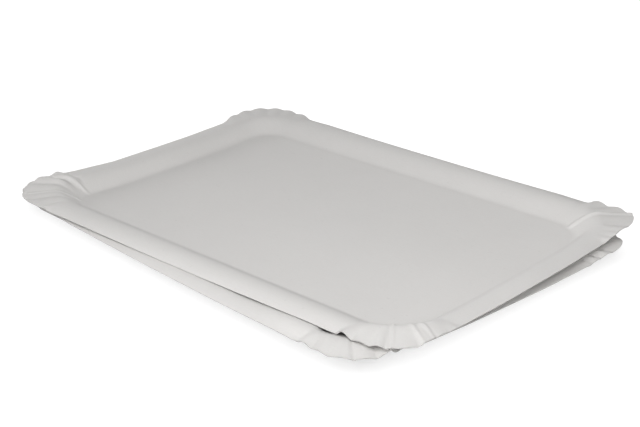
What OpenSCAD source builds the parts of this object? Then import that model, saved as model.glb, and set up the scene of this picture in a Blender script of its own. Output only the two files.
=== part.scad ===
// Two flat serving trays of pressed paperboard, the upper one lying askew in the lower one.
// Each tray is one sheet: a floor, a low wall rolled over into a wide rim, and four fluted ears.

/* [Tray] */
// Length of a tray between the straight edges of its short sides
tray_l = 340; // [290:1:400]
// Width of a tray between the straight edges of its long sides
tray_w = 257; // [220:1:300]
// Thickness of the paperboard
board_t = 0.5; // [0.4:0.05:0.8]

/* [Floor] */
// Radius of the floor's corners, from whose centres the flutes fan out
floor_r = 19.5; // [14:0.5:24]
// Height that the floor gains from its middle to its long folds
floor_bow = 3.2; // [0:0.1:5]
// Width of the level strip along the floor's middle, which the tray stands on
level_w = 60; // [30:1:110]

/* [Rim] */
// Width of the rim along the long sides, from the floor's fold to the lip
rim_long = 34; // [31:0.5:40]
// Width of the rim along the short sides, from the floor's fold to the lip
rim_short = 26.5; // [24.5:0.5:31]
// Run from the fold to the ridge on the long sides
ridge_run_long = 21; // [18:0.5:24]
// Run from the fold to the ridge on the short sides
ridge_run_short = 17; // [15.5:0.5:18.5]
// Run from the fold to the ridge in the ears
ridge_run_ear = 21; // [18:0.5:25]
// Height of the ridge over the fold on the long sides
ridge_h_long = 8.4; // [6.5:0.1:11]
// Height of the ridge over the fold on the short sides
ridge_h_short = 9; // [6.5:0.1:11]
// Height of the ridge over the fold in the ears
ridge_h_ear = 9.3; // [6.5:0.1:11]
// Run over which the floor curves up into the wall
cove_run = 5; // [3:0.5:7]
// Run over which the wall rounds off below the ridge
ridge_inner = 7; // [4:0.5:9]
// Run over which the rim turns down past the ridge
ridge_outer = 5; // [3:0.5:6]
// Drop from the ridge to the lip at the ends of the long sides
lip_drop_long = 2.1; // [0.5:0.1:4]
// Drop from the ridge to the lip at the ends of the short sides
lip_drop_short = 0.5; // [0:0.1:3]
// Drop from the ridge to the lip in the ears
lip_drop_ear = 0.2; // [0:0.1:2]
// Further drop of the lip halfway along the long sides
lip_sag_long = 1.3; // [0:0.1:3]
// Further drop of the lip halfway along the short sides
lip_sag_short = 0.3; // [0:0.1:2]

/* [Ears] */
// Radius of the outline at the corners
ear_r = 25; // [18:0.5:32]
// How far an ear stands out past the plain outline
ear_proud = 1.2; // [0.4:0.1:2.5]
// Number of flutes pressed into each ear
flutes = 7; // [6:1:10]
// Half the height between the crest and the groove of a flute
flute_h = 0.7; // [0.3:0.05:1.2]
// Half the depth of the scallops in an ear's lip
scallop = 0.6; // [0.2:0.05:1.2]

/* [Stack] */
// Turn of the upper tray on the lower one, in degrees
turn = 4.2; // [0:0.1:6]
// Shift of the upper tray along the lower tray's length
shift_x = 4; // [-6:0.1:6]
// Shift of the upper tray across the lower tray's width
shift_y = 7.3; // [-9:0.1:9]
// Tilt of the upper tray about the length, in degrees
tilt_x = 1.03; // [-1.5:0.01:1.5]
// Tilt of the upper tray about the width, in degrees
tilt_y = -0.64; // [-1.5:0.01:1.5]
// Clearance that is left where the upper tray rests on the lower one
seat_gap = 0.15; // [0.1:0.05:0.4]

/* [Hidden] */
board = [0.84, 0.84, 0.83];
half_l = tray_l / 2;
half_w = tray_w / 2;
fold_x = half_l - rim_short;
fold_y = half_w - rim_long;
// Centre of the floor's corner, and of the outline's corner seen from it
corner_x = fold_x - floor_r;
corner_y = fold_y - floor_r;
round_x = half_l - ear_r - corner_x;
round_y = half_w - ear_r - corner_y;
// Steps of the mesh: across a flute, along the sides, and from the level strip to the fold
flute_steps = 4;
long_steps = 4;
short_steps = 6;
floor_rings = 3;
// The rest is probed on this many rings of the rim, with this many steps across a flute
probe_rings = 16;
probe_steps = 6;
tiny = 0.000001;

function smooth(t) = let (k = min(max(t, 0), 1)) k * k * (3 - 2 * k);

// Distance from a corner's centre to the plain outline, at an angle from the length
function outline_reach(angle) =
    let (
        flat = min((half_l - corner_x) / max(cos(angle), tiny), (half_w - corner_y) / max(sin(angle), tiny)),
        along = round_x * cos(angle) + round_y * sin(angle),
        rest = ear_r * ear_r - round_x * round_x - round_y * round_y + along * along,
        in_round = flat * cos(angle) > round_x && flat * sin(angle) > round_y
    )
    in_round ? along + sqrt(max(rest, 0)) : flat;

// Height of a flute, from -1 in its groove to 1 on its crest
function flute_wave(angle) = -cos(360 * flutes * angle / 90);

// 0 at the two ends of an ear, rising to 1 within half a flute
function ear_weight(angle) = min(1, min(angle, 90 - angle) / 90 * flutes * 2);

// A size at an angle: that of the short side at 0, of the long side at 90, of the ear between them
function around(angle, long, short, ear) =
    let (
        w = sin(angle) * sin(angle),
        k = 4 * w * (1 - w)
    )
    (1 - k) * (long * w + short * (1 - w)) + k * ear;

function rim_width(angle) =
    outline_reach(angle) - floor_r + ear_weight(angle) * (ear_proud + scallop * flute_wave(angle));

function ridge_run(angle) = around(angle, ridge_run_long, ridge_run_short, ridge_run_ear);

// Height of the rim over the fold, at a run out from it, for a given drop from the ridge to the lip
function rim_height(run, angle, drop) =
    let (
        ridge = ridge_run(angle),
        top = around(angle, ridge_h_long, ridge_h_short, ridge_h_ear),
        rise = top / (ridge - cove_run / 2 - ridge_inner / 2),
        fall = drop / (rim_width(angle) - ridge - ridge_outer / 2)
    )
    run <= 0 ? 0
    : run < cove_run ? rise * run * run / (2 * cove_run)
    : run < ridge - ridge_inner ? rise * (run - cove_run / 2)
    : run < ridge ? top - rise * pow(ridge - run, 2) / (2 * ridge_inner)
    : run < ridge + ridge_outer ? top - fall * pow(run - ridge, 2) / (2 * ridge_outer)
    : top - fall * (run - ridge - ridge_outer / 2);

// Height of the floor's bow at a distance from the tray's middle line
function bow_height(y) = floor_bow * pow(min(max((abs(y) - level_w / 2) / (fold_y - level_w / 2), 0), 1), 2);

// Height of the sheet's underside over any point of the plan
function sheet_height(x, y) =
    let (
        out_x = max(abs(x) - corner_x, 0),
        out_y = max(abs(y) - corner_y, 0),
        run = norm([out_x, out_y]) - floor_r,
        angle = atan2(out_y, out_x),
        ear = ear_weight(angle),
        // 1 halfway along a straight side, 0 at its ends and in the ears
        mid_long = out_x > 0 ? 0 : 1 - pow(x / corner_x, 2),
        mid_short = out_y > 0 ? 0 : 1 - pow(y / corner_y, 2),
        plain_drop = around(angle, lip_drop_long, lip_drop_short, lip_drop_ear),
        sag = out_y > 0 ? mid_long * lip_sag_long : mid_short * lip_sag_short,
        drop = plain_drop * (1 - ear) + lip_drop_ear * ear + sag,
        flute = flute_h * ear * flute_wave(angle) * smooth(run / ridge_run(angle))
    )
    rim_height(run, angle, drop) + flute + bow_height(y);

// Each station is a base point and a direction out of it, going once round the tray
function stations(steps) = [
    for (q = [0:3])
    let (
        side_x = q == 0 || q == 3 ? 1 : -1,
        side_y = q < 2 ? 1 : -1,
        along_length = q % 2 == 0,
        side_steps = along_length ? long_steps : short_steps
    )
    each concat(
        [for (i = [0:flutes * steps]) [side_x * corner_x, side_y * corner_y, 90 * q + 90 * i / (flutes * steps)]],
        [for (i = [1:side_steps - 1])
            let (f = 1 - 2 * i / side_steps)
            along_length ? [f * side_x * corner_x, side_y * corner_y, 90 * side_y]
            : [side_x * corner_x, f * side_y * corner_y, side_x > 0 ? 0 : 180]]
    )
];

// A station's angle folded into the first quarter, as the rim's functions take it
function quarter(angle) = atan2(abs(sin(angle)), abs(cos(angle)));

// Runs of the mesh's rings over the rim, which follow its folds
function ring_runs(angle) =
    let (ridge = ridge_run(angle))
    [
        cove_run / 2,
        cove_run,
        ridge - ridge_inner,
        ridge - ridge_inner / 2,
        ridge,
        ridge + ridge_outer,
        rim_width(angle)
    ];

function sheet_point(x, y) = [x, y, sheet_height(x, y)];

function rim_point(s, run) =
    sheet_point(s.x + (floor_r + run) * cos(s.z), s.y + (floor_r + run) * sin(s.z));

function floor_point(s, share) =
    sheet_point(share * (s.x + floor_r * cos(s.z)), share * (s.y + floor_r * sin(s.z)));

level_share = level_w / 2 / fold_y;
round_trip = stations(flute_steps);
count = len(round_trip);

// Points of the underside, ring by ring from the floor's level strip to the lip
underside = [
    for (j = [0:floor_rings], s = round_trip) floor_point(s, level_share + (1 - level_share) * j / floor_rings),
    for (j = [0:6], s = round_trip) rim_point(s, ring_runs(quarter(s.z))[j])
];
ring_count = len(underside) / count;

// Two triangles for each square of the mesh, seen from above or from below
function skin(first, up) = [
    for (j = [0:ring_count - 2], i = [0:count - 1])
    let (
        a = first + j * count + i,
        b = first + j * count + (i + 1) % count,
        c = b + count,
        d = a + count
    )
    each up ? [[a, b, c], [a, c, d]] : [[a, c, b], [a, d, c]]
];

module tray() {
    top = len(underside);
    lip = top - count;
    hub = 2 * top;
    polyhedron(
        points = concat(
            underside,
            [for (p = underside) p + [0, 0, board_t]],
            [[0, 0, 0], [0, 0, board_t]]
        ),
        faces = concat(
            [for (i = [0:count - 1]) [hub, i, (i + 1) % count]],
            skin(0, false),
            [for (i = [0:count - 1]) [hub + 1, top + (i + 1) % count, top + i]],
            skin(top, true),
            [for (i = [0:count - 1])
                let (a = lip + i, b = lip + (i + 1) % count)
                each [[a, a + top, b + top], [a, b + top, b]]]
        ),
        convexity = 8
    );
}

// A point of the upper tray after its turn, tilt and shift, before it is lifted
function posed(p) =
    let (
        x = p.x * cos(turn) - p.y * sin(turn),
        y = p.x * sin(turn) + p.y * cos(turn),
        x_tilted = x * cos(tilt_y) + p.z * sin(tilt_y),
        z_tilted = -x * sin(tilt_y) + p.z * cos(tilt_y)
    )
    [
        x_tilted + shift_x,
        y * cos(tilt_x) - z_tilted * sin(tilt_x) + shift_y,
        y * sin(tilt_x) + z_tilted * cos(tilt_x)
    ];

// The lift at which the upper tray's underside just clears the top of the lower tray
probes = [
    for (s = stations(probe_steps), j = [0:probe_rings])
    posed(rim_point(s, rim_width(quarter(s.z)) * j / probe_rings))
];
lift = seat_gap + board_t + max([
    for (p = probes)
    if (abs(p.x) < half_l && abs(p.y) < half_w) sheet_height(p.x, p.y) - p.z
]);

// The middle of the stack's plan, which is the part's origin
plan = concat(underside, [for (p = underside) posed(p)]);
all_x = [for (p = plan) p.x];
all_y = [for (p = plan) p.y];
middle = [(min(all_x) + max(all_x)) / 2, (min(all_y) + max(all_y)) / 2, 0];

module lower_tray() {
    color(board)
        translate(-middle)
            tray();
}

module upper_tray() {
    color(board)
        translate([shift_x, shift_y, lift] - middle)
            rotate([tilt_x, 0, 0])
                rotate([0, tilt_y, 0])
                    rotate([0, 0, turn])
                        tray();
}

lower_tray();
upper_tray();
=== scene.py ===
import math

import bmesh
import bpy
from mathutils import Euler, Matrix, Vector


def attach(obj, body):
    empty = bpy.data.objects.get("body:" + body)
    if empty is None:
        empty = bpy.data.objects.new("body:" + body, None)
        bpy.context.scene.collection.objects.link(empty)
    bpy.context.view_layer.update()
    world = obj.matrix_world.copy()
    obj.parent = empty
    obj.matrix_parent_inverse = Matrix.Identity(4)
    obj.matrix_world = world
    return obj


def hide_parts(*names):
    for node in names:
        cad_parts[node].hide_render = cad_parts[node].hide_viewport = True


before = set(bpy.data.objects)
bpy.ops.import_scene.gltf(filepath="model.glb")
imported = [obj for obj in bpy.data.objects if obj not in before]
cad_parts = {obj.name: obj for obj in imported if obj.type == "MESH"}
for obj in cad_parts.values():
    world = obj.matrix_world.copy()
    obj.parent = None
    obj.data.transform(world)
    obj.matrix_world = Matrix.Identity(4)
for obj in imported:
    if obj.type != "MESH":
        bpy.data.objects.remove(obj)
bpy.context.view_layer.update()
bpy.ops.object.select_all(action="DESELECT")

# The camera stands at table height off the tray's front corner, with a long lens.
# Its place was measured from the trays' own folds and lips.
camera_place = (0.584834, -0.577911, 0.354262)
camera_turn = (67.3352, -1.5654, 46.0307)
camera_lens, camera_sensor = 75.0, 36.0
camera_near, camera_far = 0.01, 50.0

camera_data = bpy.data.cameras.new("camera")
camera_data.lens = camera_lens
camera_data.sensor_width = camera_sensor
camera_data.clip_start = camera_near
camera_data.clip_end = camera_far
camera = bpy.data.objects.new("camera", camera_data)
camera.location = camera_place
camera.rotation_euler = [math.radians(angle) for angle in camera_turn]
bpy.context.scene.collection.objects.link(camera)
bpy.context.scene.camera = camera


class Wire:
    """A value inside a material. Arithmetic on it adds Math nodes."""

    def __init__(self, tree, socket=None):
        self.tree, self.socket = tree, socket

    def node(self, kind, settings=None, values=None, output=0):
        """Adds a node: its settings are set first, then its sockets are given values or links."""
        made = self.tree.nodes.new(kind)
        for name, setting in (settings or {}).items():
            if name == "stops":
                ramp = made.color_ramp
                while len(ramp.elements) < len(setting):
                    ramp.elements.new(0.5)
                for element, (place, tone) in zip(ramp.elements, setting):
                    element.position = place
                    element.color = (tone, tone, tone, 1)
            else:
                setattr(made, name, setting)
        for key, value in (values or {}).items():
            if isinstance(value, Wire):
                self.tree.links.new(value.socket, made.inputs[key])
            else:
                made.inputs[key].default_value = value
        return Wire(self.tree, made.outputs[output] if made.outputs else None)

    def math(self, operation, first, second=0.0):
        return self.node("ShaderNodeMath", {"operation": operation}, {0: first, 1: second})

    def __add__(self, other):
        return self.math("ADD", self, other)

    def __sub__(self, other):
        return self.math("SUBTRACT", self, other)

    def __mul__(self, other):
        return self.math("MULTIPLY", self, other)

    __radd__ = __add__


def new_material(name):
    """An empty material with an output, and a wire to build it from."""
    material = bpy.data.materials.new(name)
    material.use_nodes = True
    material.node_tree.nodes.clear()
    return material, Wire(material.node_tree)


# The trays lie on a plain white table that runs out of sight on every side.
# It is matt, and it shows only a soft, faint shadow close to the trays.
table_half = 6.0
table_tone = (0.86, 0.86, 0.86, 1)
table_white = 1.12
shadow_share = 0.5
# The shadow fades out between these distances from a box under the trays
shadow_box, shadow_reach = (0.144, 0.11, 1.0), (0.0, 0.037)

bpy.ops.mesh.primitive_plane_add(size=2 * table_half, location=(0, 0, 0))
table = bpy.context.object
table.name = "table"
table_paper, wire = new_material("table_paper")
matt = wire.node("ShaderNodeBsdfDiffuse", values={"Color": table_tone})
white = wire.node("ShaderNodeEmission", values={"Color": (1, 1, 1, 1), "Strength": table_white})
place = wire.node("ShaderNodeTexCoord", output="Object")
away = wire.node("ShaderNodeVectorMath", {"operation": "ABSOLUTE"}, {0: place})
away = wire.node("ShaderNodeVectorMath", {"operation": "SUBTRACT"}, {0: away, 1: shadow_box})
away = wire.node("ShaderNodeVectorMath", {"operation": "MAXIMUM"}, {0: away, 1: (0, 0, 0)})
away = wire.node("ShaderNodeVectorMath", {"operation": "LENGTH"}, {0: away}, output="Value")
near = wire.node("ShaderNodeMapRange", values={
    "Value": away, "From Min": shadow_reach[0], "From Max": shadow_reach[1],
    "To Min": shadow_share, "To Max": 0.0})
seen = wire.node("ShaderNodeMixShader", values={0: near, 1: white, 2: matt})
ray = wire.node("ShaderNodeLightPath")
shown = wire.node("ShaderNodeMixShader", values={0: ray, 1: matt, 2: seen})
wire.node("ShaderNodeOutputMaterial", values={0: shown})
table.data.materials.append(table_paper)


# The lower tray is one sheet of off-white pulp board, about half a millimetre thick.
# A heated die pressed its floor, its rolled rim and the fluted ears at its corners.
# It lies flat, and it mostly shows at its front and right-hand lips.

# All lengths here are in millimetres. Where a name ends in long, short or ear, the value
# holds at the middle of that side or of the ears.
tray_l, tray_w, board_t = 340.0, 257.0, 0.5
# The floor's corners, how far its long folds are bowed up, and its level strip's width
floor_r, floor_bow, level_w = 19.5, 3.2, 60.0
rim_long, rim_short = 34.0, 26.5
# How far out from the fold the ridge runs, and how high it is
ridge_run_long, ridge_run_short, ridge_run_ear = 24.0, 17.0, 21.0
ridge_h_long, ridge_h_short, ridge_h_ear = 8.1, 9.0, 9.3
# Runs of the cove at the fold, of the roll up to an ear's ridge, and of the turn past it
cove_run, roll_ear = 5.0, 7.0
turn_long, turn_short, turn_ear = 9.0, 7.0, 7.0
# How far the lip lies under the ridge, and how much more at the middle of a side
lip_drop_long, lip_drop_short, lip_drop_ear = 1.8, 0.5, 0.2
lip_sag_long, lip_sag_short = 1.3, 0.3
# The outline's corners, and how far the ears stand out past them
ear_r, ear_proud = 25.0, 1.2
# Degrees over which an ear and its crown rise from the plain rim, how round its lobes
# are, and how far the plain lip dips beside an ear
ear_start, crown_start, lobe_power, neck, neck_long = 6.0, 20.0, 1.3, 0.6, 22.0
# How far a crown runs on along a side, and how soon a side's bend levels out from its ends
crown_long, bend_power = 60.0, 5
# The run over which a crease rises, and the run over which its two angles are given
crease_rise, crease_run = 6.0, 40.0
half_l, half_w = tray_l / 2, tray_w / 2
corner_x = half_l - rim_short - floor_r
corner_y = half_w - rim_long - floor_r
round_x = half_l - ear_r - corner_x
round_y = half_w - ear_r - corner_y
# Steps of the mesh round an ear and along the sides
ear_steps, long_steps, short_steps = 120, 60, 48
# Shares of the way from the floor's middle to its fold at which the mesh has rings
floor_shares = [0.03, 0.1, 0.18, 0.26, 0.34, 0.42, 0.5, 0.58, 0.66, 0.74, 0.81, 0.87, 0.92, 0.96]
# Mesh points nearer than this are one, and edges sharper than this many degrees stay sharp
merge_within, sharp_from = 0.001, 50
mm_per_m = 1000
# Where the stack's middle lies on the lower tray
stack_middle = Vector((3.85578, 7.0755, 0.0))


def smooth(t):
    """A soft step from 0 to 1."""
    t = min(max(t, 0.0), 1.0)
    return t * t * (3 - 2 * t)


def outline_reach(angle):
    """Distance from a corner's centre to the plain outline."""
    c, s = max(math.cos(angle), 1e-6), max(math.sin(angle), 1e-6)
    flat = min((half_l - corner_x) / c, (half_w - corner_y) / s)
    if flat * c > round_x and flat * s > round_y:
        along = round_x * c + round_y * s
        rest = ear_r ** 2 - round_x ** 2 - round_y ** 2 + along ** 2
        return along + math.sqrt(max(rest, 0))
    return flat


def flute(angle, ear):
    """An ear's height at an angle, and its share from a groove (0) to a lobe (1)."""
    turned = math.degrees(angle)
    grooves = ear["grooves"]
    for (start, low), (end, next_low), lobe in zip(grooves, grooves[1:], ear["lobes"]):
        if start <= turned <= end:
            t = (turned - start) / (end - start)
            share = math.sin(math.pi * t) ** lobe_power
            return low + (next_low - low) * t + (lobe - (low + next_low) / 2) * share, share
    return (grooves[0] if turned < grooves[0][0] else grooves[-1])[1], 0.0


def quarter_angle(turned):
    """The angle in an ear, from its short side to its long side."""
    return math.atan2(abs(math.sin(turned)), abs(math.cos(turned)))


def ear_weight(angle):
    """How far the ear has risen from the plain rim beside it."""
    return min(1.0, math.degrees(min(angle, math.pi / 2 - angle)) / ear_start)


def around(angle, long, short, ear):
    """A value that passes from the short side's over the ear's to the long side's."""
    w = math.sin(angle) ** 2
    k = 4 * w * (1 - w)
    return (1 - k) * (long * w + short * (1 - w)) + k * ear


def rim_width(angle, ear):
    """Run from the fold to the lip."""
    scalloped = ear["scallop"] * (2 * flute(angle, ear)[1] - 1)
    out = ear_proud + ear["reach"] * math.sin(2 * angle) ** 2 + scalloped
    return outline_reach(angle) - floor_r + ear_weight(angle) * out


def ridge_runs(angle, ear):
    """Run from the fold to the ridge, and the runs of its roll inside and its turn outside."""
    ridge = around(angle, ridge_run_long, ridge_run_short, ridge_run_ear)
    inner = around(angle, ear["rolls"][1], ear["rolls"][0], roll_ear)
    outer = around(angle, turn_long, turn_short, turn_ear)
    return ridge, inner, outer


def rim_height(run, angle, drop, ear):
    """Height over the fold, at a run out from it."""
    ridge, ridge_inner, ridge_outer = ridge_runs(angle, ear)
    top = around(angle, ridge_h_long, ridge_h_short, ridge_h_ear)
    rise = top / (ridge - cove_run / 2 - ridge_inner / 2)
    fall = drop / (rim_width(angle, ear) - ridge - ridge_outer / 2)
    if run <= 0:
        return 0.0
    if run < cove_run:
        return rise * run * run / (2 * cove_run)
    if run < ridge - ridge_inner:
        return rise * (run - cove_run / 2)
    if run < ridge:
        return top - rise * (ridge - run) ** 2 / (2 * ridge_inner)
    if run < ridge + ridge_outer:
        return top - fall * (run - ridge) ** 2 / (2 * ridge_outer)
    return top - fall * (run - ridge - ridge_outer / 2)


def sheet_height(x, y, ear, bent, crest):
    """Height of the sheet over the plan, in the tray's own frame."""
    out_x, out_y = max(abs(x) - corner_x, 0), max(abs(y) - corner_y, 0)
    run, angle = math.hypot(out_x, out_y) - floor_r, math.atan2(out_y, out_x)
    weight = ear_weight(angle)
    mid_long = 0 if out_x > 0 else 1 - (x / corner_x) ** 2
    mid_short = 0 if out_y > 0 else 1 - (y / corner_y) ** 2
    sag = mid_long * lip_sag_long if out_y > 0 else mid_short * lip_sag_short
    plain_drop = around(angle, lip_drop_long, lip_drop_short, lip_drop_ear)
    drop = plain_drop * (1 - weight) + lip_drop_ear * weight + sag
    ridge = ridge_runs(angle, ear)[0]
    begin, end = ear["runs"]
    past = smooth((run - ridge) / (rim_width(angle, ear) - ridge))
    pressed = weight * flute(angle, ear)[0] * smooth((run - begin) / (end - begin))
    pressed += (bent + crest * (1 - past)) * smooth(run / ridge)
    beside = 1 - weight if out_x and out_y else 1
    from_ear = max(corner_x - abs(x), 0) + max(corner_y - abs(y), 0) if run > 0 else 0
    pressed -= beside * neck * past * smooth(1 - from_ear / neck_long)
    for at_fold, at_lip, height, width in ear["creases"]:
        middle = at_fold + (at_lip - at_fold) * run / crease_run
        off = math.radians(math.degrees(angle) - middle) * (floor_r + run)
        pressed += weight * height * math.exp(-(off / width) ** 2) * smooth(run / crease_rise)
    share = (abs(y) - level_w / 2) / (half_w - rim_long - level_w / 2)
    bow = floor_bow * min(max(share, 0), 1) ** 2
    return rim_height(run, angle, drop, ear) + pressed + bow


def round_trip():
    """Stations once round the tray: base point, direction, quarter and share of the side."""
    for q in range(4):
        side_x = 1 if q in (0, 3) else -1
        side_y = 1 if q < 2 else -1
        for i in range(ear_steps + 1):
            turned = math.pi / 2 * (q + i / ear_steps)
            yield side_x * corner_x, side_y * corner_y, turned, q, None
        steps = long_steps if q % 2 == 0 else short_steps
        for i in range(1, steps):
            f = 1 - 2 * i / steps
            if q % 2 == 0:
                yield f * side_x * corner_x, side_y * corner_y, math.pi / 2 * side_y, q, i / steps
            else:
                facing = 0.0 if side_x > 0 else math.pi
                yield side_x * corner_x, f * side_y * corner_y, facing, q, i / steps


def rim_runs(angle, ear):
    """Runs of the mesh's rings over the rim, close together where it bends."""
    ridge, ridge_inner, ridge_outer = ridge_runs(angle, ear)
    bend = [cove_run * f for f in (0.0, 0.25, 0.5, 0.75, 1.0)]
    wall = [cove_run + (ridge - ridge_inner - cove_run) * f for f in (0.35, 0.7, 1.0)]
    roll = [ridge - ridge_inner * (1 - f) for f in (0.2, 0.4, 0.6, 0.8, 1.0)]
    turn = [ridge + ridge_outer * f for f in (0.25, 0.5, 0.75, 1.0)]
    flat = rim_width(angle, ear) - ridge - ridge_outer
    flange = [ridge + ridge_outer + flat * f for f in (0.3, 0.6, 0.85, 1.0)]
    return bend + wall + roll + turn + flange


def bend_and_crown(turned, q, along, ears):
    """How far the rim is bent up at a station, and how high its ridge is crowned."""
    ear, next_ear = ears[q], ears[(q + 1) % 4]
    if along is None:
        quarter = quarter_angle(turned)
        before = turned < math.pi / 2 * (q + 0.5)
        bent = (ears[q - 1]["side"][2] if before else ear["side"][0]) * (1 - ear_weight(quarter))
        crowned = smooth(math.degrees(min(quarter, math.pi / 2 - quarter)) / crown_start)
        end = ear["crown"][2 if quarter > math.pi / 4 else 0]
        return bent, ear["crown"][1] * crowned + end * (1 - crowned)
    start, middle, end = ear["side"]
    bent = middle + (start - middle) * (1 - along) ** bend_power
    bent += (end - middle) * along ** bend_power
    length, at = (2 * corner_x, 2) if q % 2 == 0 else (2 * corner_y, 0)
    crest = ear["crown"][at] * smooth(1 - along * length / crown_long)
    crest += next_ear["crown"][at] * smooth(1 - (1 - along) * length / crown_long)
    return bent, crest


def close_sheet(tray):
    """Joins the grid's ends, fills the hole in the floor's middle and turns all faces up."""
    bpy.ops.object.mode_set(mode="EDIT")
    bpy.ops.mesh.select_all(action="SELECT")
    bpy.ops.mesh.remove_doubles(threshold=merge_within)
    bpy.ops.mesh.select_all(action="DESELECT")
    sheet = bmesh.from_edit_mesh(tray.data)
    for edge in sheet.edges:
        if edge.is_boundary and edge.verts[0].co.xy.length < half_w / 2:
            edge.select_set(True)
    bmesh.update_edit_mesh(tray.data)
    bpy.ops.mesh.edge_face_add()
    bpy.ops.mesh.poke()
    bpy.ops.mesh.select_all(action="SELECT")
    bpy.ops.mesh.normals_make_consistent(inside=False)
    bpy.ops.object.mode_set(mode="OBJECT")
    if sum(face.normal.z for face in tray.data.polygons) < 0:
        tray.data.flip_normals()


def press_tray(name, ears, pose):
    """Lays a flat grid round the tray, ring by ring, and presses it to the die's height."""
    stations = list(round_trip())
    rings = len(floor_shares) + len(rim_runs(0.0, ears[0]))
    bpy.ops.mesh.primitive_grid_add(x_subdivisions=rings - 1, y_subdivisions=len(stations), size=1)
    tray = bpy.context.object
    tray.name = tray.data.name = name
    plan = tray.data.uv_layers.active or tray.data.uv_layers.new(name="plan")
    places = []
    for base_x, base_y, turned, q, along in stations + stations[:1]:
        bent, crest = bend_and_crown(turned, q, along, ears)
        rows = [(share, floor_r) for share in floor_shares]
        rows += [(1.0, floor_r + run) for run in rim_runs(quarter_angle(turned), ears[q])]
        for share, reach in rows:
            x = share * (base_x + reach * math.cos(turned))
            y = share * (base_y + reach * math.sin(turned))
            places.append((x, y, sheet_height(x, y, ears[q], bent, crest) + board_t))
    for vertex, place in zip(tray.data.vertices, places):
        vertex.co = place
    for loop in tray.data.loops:
        x, y, _ = places[loop.vertex_index]
        plan.data[loop.index].uv = (x / mm_per_m, y / mm_per_m)
    close_sheet(tray)
    board = tray.modifiers.new("board", "SOLIDIFY")
    board.thickness = board_t
    board.offset = -1
    bpy.ops.object.modifier_apply(modifier=board.name)
    tray.data.transform(Matrix.Scale(1 / mm_per_m, 4) @ pose)
    bpy.ops.object.shade_smooth_by_angle(angle=math.radians(sharp_from))
    bpy.ops.object.select_all(action="DESELECT")
    return tray


board_tone = (0.640, 0.628, 0.615, 1)
board_rough, board_shine = 0.62, 0.25
# Patterns to the metre. The fibres are combed: how far they are turned and drawn out
grain_scale, fibre_scale, cloud_scale, speck_scale = 900.0, 170.0, 22.0, 420.0
comb_turn, comb_stretch = 0.2, 7
# How strongly each pattern shades the board, and how much painted shade darkens the cut edges
grain_shade, fibre_shade, cloud_shade, speck_dark, cut_edge_shade = 0.05, 0.05, 0.06, 0.05, 0.3
speck_from, speck_full = 0.70, 0.78
# A face whose normal is less upright than this is a cut edge, and it gets painted shade for facing
# sideways, away from the lamps
cut_lean = 0.5
cloud_rough, fibre_rough = 0.12, 0.06
grain_height, fibre_height, bump_share, bump_depth = 0.6, 0.4, 0.25, 0.0002


def board_material(name, tone, seed):
    """Pressed pulp board: fine grain, short combed fibres, soft clouds, a few flecks, and painted
    shade on its cut edges.
    """
    material, wire = new_material(name)
    place = wire.node("ShaderNodeTexCoord", output="Object")
    place = wire.node("ShaderNodeVectorMath", {"operation": "ADD"}, {0: place, 1: (seed, seed, seed)})
    combed = wire.node("ShaderNodeMapping", values={
        "Vector": place, "Rotation": (0, 0, comb_turn), "Scale": (1, comb_stretch, 1)})
    grain = wire.node("ShaderNodeTexNoise", values={
        "Vector": place, "Scale": grain_scale, "Detail": 4.0})
    fibre = wire.node("ShaderNodeTexNoise", values={
        "Vector": combed, "Scale": fibre_scale, "Detail": 3.0, "Distortion": 0.6})
    cloud = wire.node("ShaderNodeTexNoise", values={
        "Vector": place, "Scale": cloud_scale, "Detail": 3.0})
    speck = wire.node("ShaderNodeTexNoise", values={
        "Vector": place, "Scale": speck_scale, "Detail": 1.0})
    speck = wire.node("ShaderNodeValToRGB", {
        "stops": [(speck_from, 0.0), (speck_full, 1.0)]}, {0: speck})
    upright = wire.node("ShaderNodeNewGeometry", output="True Normal")
    upright = wire.node("ShaderNodeSeparateXYZ", values={0: upright}, output="Z")
    cut_shade_mask = wire.node("ShaderNodeMath", {"operation": "ABSOLUTE"}, {0: upright})
    cut_shade_mask = wire.node("ShaderNodeMath", {"operation": "LESS_THAN"}, {0: cut_shade_mask, 1: cut_lean})
    mottled = (grain - 0.5) * grain_shade + (fibre - 0.5) * fibre_shade + (cloud - 0.5) * cloud_shade
    # The cut edges are darkened here with painted shade, not with a colour of their own.
    shade = 1 + mottled - speck * speck_dark - cut_shade_mask * cut_edge_shade
    colour = wire.node("ShaderNodeVectorMath", {"operation": "SCALE"}, {0: tone[:3], "Scale": shade})
    rough = board_rough + (cloud - 0.5) * cloud_rough + (fibre - 0.5) * fibre_rough
    bump = wire.node("ShaderNodeBump", values={
        "Height": grain * grain_height + fibre * fibre_height,
        "Strength": bump_share, "Distance": bump_depth})
    paper = wire.node("ShaderNodeBsdfPrincipled", values={
        "Base Color": colour, "Roughness": rough, "Specular IOR Level": board_shine, "Normal": bump})
    wire.node("ShaderNodeOutputMaterial", values={0: paper})
    return material


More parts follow.
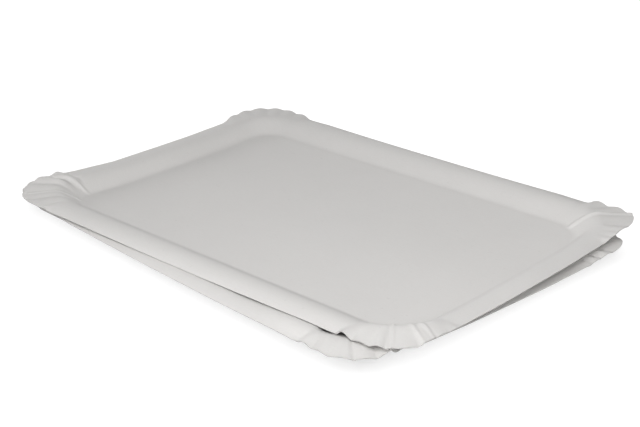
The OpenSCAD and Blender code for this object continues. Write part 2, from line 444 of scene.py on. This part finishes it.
# Each ear in turn, from its short side to its long side: the degrees and heights of its
# grooves, the heights of the lobes between them, the runs over which they rise, their
# scallops, and the length of the roll at its short and long side. A worn ear also states
# what it has otherwise than a plain one: how far its tip reaches out, its crown's height at
# its short side, middle and long side, its creases (degrees at the fold and the lip, height,
# width), and how far the side after it is bent up at its start, middle and end.
plain_ear = {"reach": 0.0, "crown": (0, 0, 0), "creases": [], "side": (0, 0, 0)}
lower_ears = [
    {**plain_ear,
     "grooves": [(0, -1.0), (7, -0.6), (18, -0.8), (31, -0.8),
                 (56, -0.6), (68, -0.5), (79, -0.5), (90, -1.5)],
     "lobes": [-0.3, 1.0, 1.0, 1.0, 0.5, 0.4, 0.8],
     "runs": (8, 22), "scallop": 0.6, "rolls": (12, 11.5), "crown": (0, 0.5, 0)},
    {**plain_ear,
     "grooves": [(2, -1.0), (20, 0.0), (34, -0.4), (48, -0.6), (60, -0.6), (72, -0.6), (86, -1.5)],
     "lobes": [1.0, 0.8, 0.4, 0.3, 0.2, 0.3],
     "runs": (8, 30), "scallop": 0.6, "rolls": (9, 11.5)},
    {**plain_ear,
     "grooves": [(2, -1.5), (20, -1.0), (34, -1.0), (48, -1.2), (60, -1.0), (74, -0.1), (88, 0.8)],
     "lobes": [-0.4, -0.4, -0.5, -0.4, 0.4, 1.2],
     "runs": (8, 22), "scallop": 0.4, "rolls": (9, 15), "reach": -5.5, "side": (0.9, 1.0, 2.0)},
    {**plain_ear,
     "grooves": [(0, -1.2), (13, -0.3), (26, 0.2), (39, 0.5),
                 (51, 0.9), (64, 0.4), (76, 0.7), (88, 1.0)],
     "lobes": [-0.2, 1.2, 2.4, 1.6, 1.7, 1.5, 2.4],
     "runs": (14, 34), "scallop": 0.1, "rolls": (12, 15), "crown": (0, 2.2, 2.3),
     "creases": [(60, 51, -0.6, 1.0), (34, 30, 1.0, 1.6)], "side": (-0.3, -0.3, 0)},
]
lower_pose = Matrix.Translation(-stack_middle)
lower_tray = press_tray("lower_sheet", lower_ears, lower_pose)
lower_tray.data.materials.append(board_material("lower_board", board_tone, 0.0))
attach(lower_tray, "root")
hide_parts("lower_tray")

# The upper tray is a second sheet off the same die, dropped askew into the lower one.
# It rests on three of the lower tray's ears, turned and a little tilted.
upper_ears = [
    {**plain_ear,
     "grooves": [(2, -1.4), (12, 0.4), (21, 0.7), (32, 0.0), (58, -1.0), (72, -1.3), (88, -2.4)],
     "lobes": [1.2, 1.3, 1.3, 0.9, -0.2, 0.4],
     "runs": (18, 36), "scallop": 0.3, "rolls": (12, 11.5), "creases": [(66, 51, 1.5, 1.7)]},
    {**plain_ear,
     "grooves": [(5, -1.2), (20, 0.5), (34, -0.3), (48, -1.2), (60, -1.3), (72, -1.4), (86, -2.6)],
     "lobes": [1.5, 1.1, 0.0, -0.6, -0.7, -0.6],
     "runs": (16, 38), "scallop": 0.35, "rolls": (9, 11.5)},
    {**plain_ear,
     "grooves": [(3, -1.6), (22, 0.4), (37, 0.1), (51, -0.8), (64, -0.9), (79, -0.6), (91, -0.7)],
     "lobes": [2.6, 2.4, 0.4, -0.2, 0.1, 0.8],
     "runs": (6, 22), "scallop": 0.5, "rolls": (9, 15), "reach": -1.3,
     "creases": [(10, 25, 0.8, 1.5), (50, 55, 0.8, 1.3)], "side": (0.8, 0.8, 0.8)},
    {**plain_ear,
     "grooves": [(1, -1.4), (13, -0.8), (26, -0.6), (39, -0.9),
                 (56, -0.3), (65, -0.6), (76, -0.7), (90, -1.7)],
     "lobes": [0.3, 0.6, 0.7, 0.0, 1.0, 0.4, 2.6],
     "runs": (22, 38), "scallop": 0.1, "rolls": (12, 15), "crown": (0, 1.4, 0),
     "creases": [(30, 27, 0.6, 1.4), (40, 35, 0.6, 1.4), (53, 53, 0.5, 1.2), (56, 56, -0.4, 1.2)]},
]
# Its pose on the lower tray, in degrees and millimetres
turn, tilt_x, tilt_y = 4.2, 1.03, -0.64
shift_x, shift_y, lift = 4.0, 7.3, 5.9807

upper_turn = Euler((math.radians(tilt_x), 0, 0)).to_matrix()
upper_turn = upper_turn @ Euler((0, math.radians(tilt_y), 0)).to_matrix()
upper_turn = upper_turn @ Euler((0, 0, math.radians(turn))).to_matrix()
upper_pose = Matrix.Translation(Vector((shift_x, shift_y, lift)) - stack_middle) @ upper_turn.to_4x4()
upper_tray = press_tray("upper_sheet", upper_ears, upper_pose)
upper_tray.data.materials.append(board_material("upper_board", board_tone, 3.7))
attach(upper_tray, "root")
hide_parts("upper_tray")

# Two soft lamps hang over the near corner, four weaker ones stand low all round, and one
# grazes the trays from the left. The white room fills in the rest, and it is white where
# the camera looks past the table.
lamps = {
    "near_lamp": {"place": (0.36, -0.50, 0.50), "size": 0.6, "power": 4.0},
    "front_lamp": {"place": (0.55, -0.20, 0.50), "size": 0.6, "power": 1.5},
    "left_lamp": {"place": (-1.063, -1.063, 0.547), "size": 0.8, "power": 4.0},
    "far_lamp": {"place": (-1.063, 1.063, 0.547), "size": 0.8, "power": 3.6},
    "back_lamp": {"place": (1.063, 1.063, 0.547), "size": 0.8, "power": 2.1},
    "right_lamp": {"place": (1.063, -1.063, 0.547), "size": 0.8, "power": 1.9},
    "grazing_lamp": {"place": (-1.584, -0.10, 0.223), "size": 0.8, "power": 9.0},
}
room_strength = 0.2

for name, lamp in lamps.items():
    data = bpy.data.lights.new(name, "AREA")
    data.shape = "SQUARE"
    data.size = lamp["size"]
    data.energy = lamp["power"]
    holder = bpy.data.objects.new(name, data)
    holder.location = lamp["place"]
    holder.rotation_euler = (-Vector(lamp["place"])).to_track_quat("-Z", "Y").to_euler()
    holder.visible_camera = False
    bpy.context.scene.collection.objects.link(holder)

world = bpy.data.worlds.new("room")
bpy.context.scene.world = world
world.use_nodes = True
world.node_tree.nodes.clear()
wire = Wire(world.node_tree)
ray = wire.node("ShaderNodeLightPath")
strength = room_strength + ray * (1 - room_strength)
room = wire.node("ShaderNodeBackground", values={"Color": (1, 1, 1, 1), "Strength": strength})
wire.node("ShaderNodeOutputWorld", values={0: room})

bpy.context.scene.view_settings.view_transform = "Standard"
